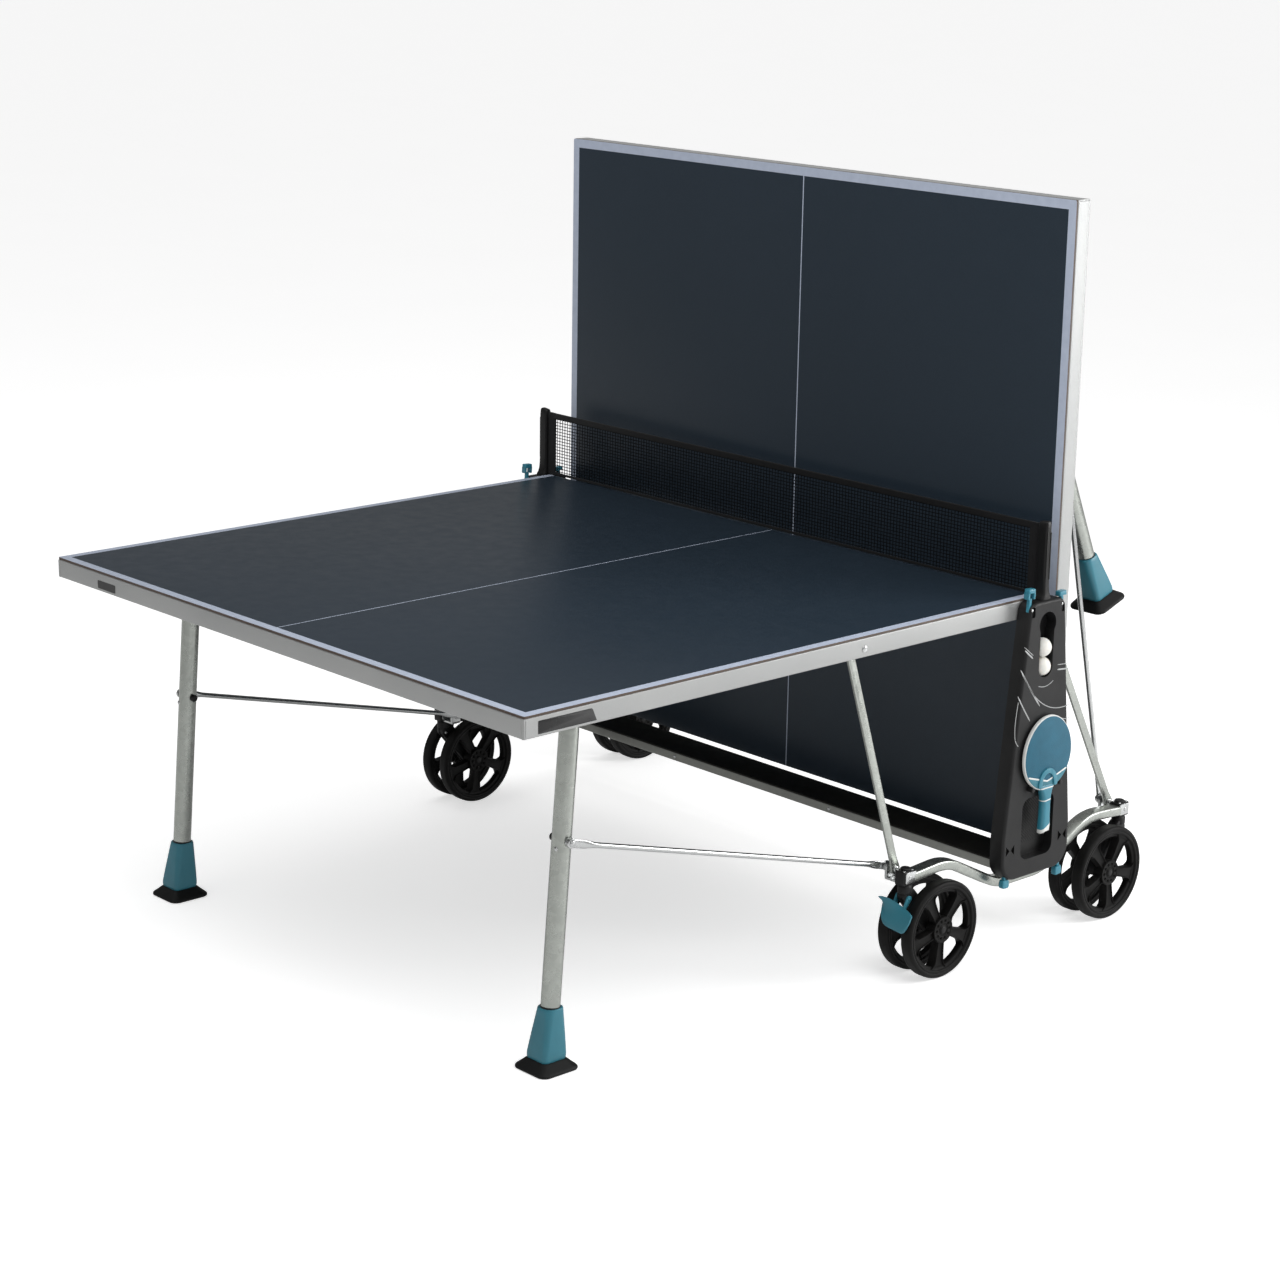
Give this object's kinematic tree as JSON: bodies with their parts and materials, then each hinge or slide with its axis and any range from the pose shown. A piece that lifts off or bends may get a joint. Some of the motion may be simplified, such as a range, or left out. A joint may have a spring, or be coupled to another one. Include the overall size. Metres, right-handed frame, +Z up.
{
  "type": "folding table-tennis table",
  "caption": "Folding outdoor table-tennis table on swivelling wheels: one half flat on its leg frame, the other upright for solo play, with net, side caddies, bats and balls.",
  "frame": {"origin": "on the floor, under the middle of the overall footprint", "axes": "+X along the net toward the side seen with its caddy, +Y from the flat half toward the upright half, +Z up"},
  "size_m": [1.64, 1.8092, 1.562],
  "materials": {
    "beam_dark": "satin dark coat over formed steel",
    "black_plastic": "moulded black, fine grain",
    "galvanised_tube": "galvanised tube",
    "wheel_black": "moulded black wheel with soft tread",
    "net_cloth": "woven square mesh with a solid top band",
    "teal_plastic": "moulded teal",
    "bright_steel": "bright plated steel",
    "playing_board": "slate-blue laminate with painted lines",
    "skirt_paint": "silver powder coat",
    "bat_face": "teal blade with a pale rim",
    "ball_white": "matte off-white"
  },
  "bodies": {
    "chassis": {"crossbeam": "beam_dark", "caddy_right": "black_plastic", "caddy_left": "black_plastic", "wheel_beam_right": "galvanised_tube", "wheel_beam_left": "galvanised_tube", "net_post_right": "black_plastic", "net_post_left": "black_plastic", "net": "net_cloth"},
    "guide_front": {"guide_axle_front": "bright_steel"},
    "half_front": {"board_front": "playing_board", "rail_front_outer": "skirt_paint", "rail_front_inner": "skirt_paint", "rail_front_right": "skirt_paint", "rail_front_left": "skirt_paint"},
    "legs_front": {"leg_front_right": "galvanised_tube", "leg_front_left": "galvanised_tube", "leg_bar_front": "galvanised_tube", "foot_front_right": "teal_plastic", "foot_front_left": "teal_plastic"},
    "arms_front": {"arm_front_right": "bright_steel", "arm_front_left": "bright_steel"},
    "rods_front": {"rod_front_right": "bright_steel", "rod_front_left": "bright_steel"},
    "caster_front_right": {"caster_front_right": "black_plastic"},
    "wheel_front_right_out": {"wheel_front_right_out": "wheel_black"},
    "wheel_front_right_in": {"wheel_front_right_in": "wheel_black"},
    "brake_front_right": {"brake_front_right": "teal_plastic"},
    "latch_front_right": {"latch_front_right": "teal_plastic"},
    "caster_front_left": {"caster_front_left": "black_plastic"},
    "wheel_front_left_out": {"wheel_front_left_out": "wheel_black"},
    "wheel_front_left_in": {"wheel_front_left_in": "wheel_black"},
    "latch_front_left": {"latch_front_left": "teal_plastic"},
    "guide_rear": {"guide_axle_rear": "bright_steel"},
    "half_rear": {"board_rear": "playing_board", "rail_rear_outer": "skirt_paint", "rail_rear_inner": "skirt_paint", "rail_rear_right": "skirt_paint", "rail_rear_left": "skirt_paint"},
    "legs_rear": {"leg_rear_right": "galvanised_tube", "leg_rear_left": "galvanised_tube", "leg_bar_rear": "galvanised_tube", "foot_rear_right": "teal_plastic", "foot_rear_left": "teal_plastic"},
    "arms_rear": {"arm_rear_right": "bright_steel", "arm_rear_left": "bright_steel"},
    "rods_rear": {"rod_rear_right": "bright_steel", "rod_rear_left": "bright_steel"},
    "caster_rear_right": {"caster_rear_right": "black_plastic"},
    "wheel_rear_right_out": {"wheel_rear_right_out": "wheel_black"},
    "wheel_rear_right_in": {"wheel_rear_right_in": "wheel_black"},
    "latch_rear_right": {"latch_rear_right": "teal_plastic"},
    "caster_rear_left": {"caster_rear_left": "black_plastic"},
    "wheel_rear_left_out": {"wheel_rear_left_out": "wheel_black"},
    "wheel_rear_left_in": {"wheel_rear_left_in": "wheel_black"},
    "brake_rear_left": {"brake_rear_left": "teal_plastic"},
    "latch_rear_left": {"latch_rear_left": "teal_plastic"},
    "bat_right": {"bat_right": "bat_face"},
    "balls_right": {"balls_right": "ball_white"},
    "bat_left": {"bat_left": "bat_face"},
    "balls_left": {"balls_left": "ball_white"}
  },
  "joints": [
    {"name": "guide_front_slide", "type": "slide", "parent": "chassis", "child": "guide_front", "axis": [0, -0.1291, -0.9916], "range_m": [0, 0.53064]},
    {"name": "half_front_fold", "type": "hinge", "parent": "guide_front", "child": "half_front", "pos_m": [0, 0.44538, 0.738], "axis": [-1, 0, 0], "range_deg": [0, 90]},
    {"name": "legs_front_pivot", "type": "hinge", "parent": "half_front", "child": "legs_front", "pos_m": [0, -0.66562, 0.733], "axis": [1, 0, 0], "range_deg": [0, 70.08]},
    {"name": "arms_front_pivot", "type": "hinge", "parent": "half_front", "child": "arms_front", "pos_m": [0, -0.03962, 0.733], "axis": [1, 0, 0], "range_deg": [0, 43.82]},
    {"name": "rods_front_pivot", "type": "hinge", "parent": "chassis", "child": "rods_front", "pos_m": [0, 0.12397, 0.233], "axis": [-1, 0, 0], "range_deg": [0, 84.22]},
    {"name": "caster_front_right_swivel", "type": "hinge", "parent": "chassis", "child": "caster_front_right", "pos_m": [0.747, 0.12238, 0.2], "axis": [0, 0, 1], "continuous": true},
    {"name": "wheel_front_right_out_spin", "type": "hinge", "parent": "caster_front_right", "child": "wheel_front_right_out", "pos_m": [0.779, 0.19638, 0.1035], "axis": [1, 0, 0], "continuous": true},
    {"name": "wheel_front_right_in_spin", "type": "hinge", "parent": "caster_front_right", "child": "wheel_front_right_in", "pos_m": [0.715, 0.19638, 0.1035], "axis": [1, 0, 0], "continuous": true},
    {"name": "brake_front_right_pedal", "type": "hinge", "parent": "caster_front_right", "child": "brake_front_right", "pos_m": [0.747, 0.11938, 0.18], "axis": [-1, 0, 0], "range_deg": [0, 12]},
    {"name": "latch_front_right_slide", "type": "slide", "parent": "chassis", "child": "latch_front_right", "axis": [0, -0.0592, -0.9982], "range_m": [0, 0.007]},
    {"name": "caster_front_left_swivel", "type": "hinge", "parent": "chassis", "child": "caster_front_left", "pos_m": [-0.747, 0.12238, 0.2], "axis": [0, 0, 1], "continuous": true},
    {"name": "wheel_front_left_out_spin", "type": "hinge", "parent": "caster_front_left", "child": "wheel_front_left_out", "pos_m": [-0.779, 0.19638, 0.1035], "axis": [1, 0, 0], "continuous": true},
    {"name": "wheel_front_left_in_spin", "type": "hinge", "parent": "caster_front_left", "child": "wheel_front_left_in", "pos_m": [-0.715, 0.19638, 0.1035], "axis": [1, 0, 0], "continuous": true},
    {"name": "latch_front_left_slide", "type": "slide", "parent": "chassis", "child": "latch_front_left", "axis": [0, -0.0592, -0.9982], "range_m": [0, 0.007]},
    {"name": "guide_rear_slide", "type": "slide", "parent": "chassis", "child": "guide_rear", "axis": [0, -0.1291, 0.9916], "range_m": [0, 0.53064]},
    {"name": "half_rear_fold", "type": "hinge", "parent": "guide_rear", "child": "half_rear", "pos_m": [0, 0.55388, 0.212], "axis": [-1, 0, 0], "range_deg": [0, 90]},
    {"name": "legs_rear_pivot", "type": "hinge", "parent": "half_rear", "child": "legs_rear", "pos_m": [0, 0.55888, 1.323], "axis": [1, 0, 0], "range_deg": [0, 70.08]},
    {"name": "arms_rear_pivot", "type": "hinge", "parent": "half_rear", "child": "arms_rear", "pos_m": [0, 0.55888, 0.697], "axis": [1, 0, 0], "range_deg": [0, 43.82]},
    {"name": "rods_rear_pivot", "type": "hinge", "parent": "chassis", "child": "rods_rear", "pos_m": [0, 0.8068, 0.233], "axis": [-1, 0, 0], "range_deg": [0, 84.22]},
    {"name": "caster_rear_right_swivel", "type": "hinge", "parent": "chassis", "child": "caster_rear_right", "pos_m": [0.747, 0.80838, 0.2], "axis": [0, 0, 1], "continuous": true},
    {"name": "wheel_rear_right_out_spin", "type": "hinge", "parent": "caster_rear_right", "child": "wheel_rear_right_out", "pos_m": [0.779, 0.73438, 0.1035], "axis": [1, 0, 0], "continuous": true},
    {"name": "wheel_rear_right_in_spin", "type": "hinge", "parent": "caster_rear_right", "child": "wheel_rear_right_in", "pos_m": [0.715, 0.73438, 0.1035], "axis": [1, 0, 0], "continuous": true},
    {"name": "latch_rear_right_slide", "type": "slide", "parent": "chassis", "child": "latch_rear_right", "axis": [0, -0.0592, 0.9982], "range_m": [0, 0.016]},
    {"name": "caster_rear_left_swivel", "type": "hinge", "parent": "chassis", "child": "caster_rear_left", "pos_m": [-0.747, 0.80838, 0.2], "axis": [0, 0, 1], "continuous": true},
    {"name": "wheel_rear_left_out_spin", "type": "hinge", "parent": "caster_rear_left", "child": "wheel_rear_left_out", "pos_m": [-0.779, 0.73438, 0.1035], "axis": [1, 0, 0], "continuous": true},
    {"name": "wheel_rear_left_in_spin", "type": "hinge", "parent": "caster_rear_left", "child": "wheel_rear_left_in", "pos_m": [-0.715, 0.73438, 0.1035], "axis": [1, 0, 0], "continuous": true},
    {"name": "brake_rear_left_pedal", "type": "hinge", "parent": "caster_rear_left", "child": "brake_rear_left", "pos_m": [-0.747, 0.81138, 0.18], "axis": [1, 0, 0], "range_deg": [0, 12]},
    {"name": "latch_rear_left_slide", "type": "slide", "parent": "chassis", "child": "latch_rear_left", "axis": [0, -0.0592, 0.9982], "range_m": [0, 0.016]},
    {"name": "bat_right_pull", "type": "slide", "parent": "chassis", "child": "bat_right", "axis": [1, 0, 0], "range_m": [0, 0.08]},
    {"name": "balls_right_pull", "type": "slide", "parent": "chassis", "child": "balls_right", "axis": [1, 0, 0], "range_m": [0, 0.06]},
    {"name": "bat_left_pull", "type": "slide", "parent": "chassis", "child": "bat_left", "axis": [-1, 0, 0], "range_m": [0, 0.08]},
    {"name": "balls_left_pull", "type": "slide", "parent": "chassis", "child": "balls_left", "axis": [-1, 0, 0], "range_m": [0, 0.06]}
  ],
  "couplings": [
    {"joint": "guide_front_slide", "follows": "half_front_fold", "m_per_rad": 0.33769},
    {"joint": "legs_front_pivot", "follows": "half_front_fold", "ratio": 0.77812},
    {"joint": "arms_front_pivot", "follows": "half_front_fold", "ratio": 0.48631},
    {"joint": "rods_front_pivot", "follows": "half_front_fold", "ratio": 0.93524},
    {"joint": "guide_rear_slide", "follows": "half_rear_fold", "m_per_rad": 0.33769},
    {"joint": "legs_rear_pivot", "follows": "half_rear_fold", "ratio": 0.77812},
    {"joint": "arms_rear_pivot", "follows": "half_rear_fold", "ratio": 0.48631},
    {"joint": "rods_rear_pivot", "follows": "half_rear_fold", "ratio": 0.93524}
  ]
}
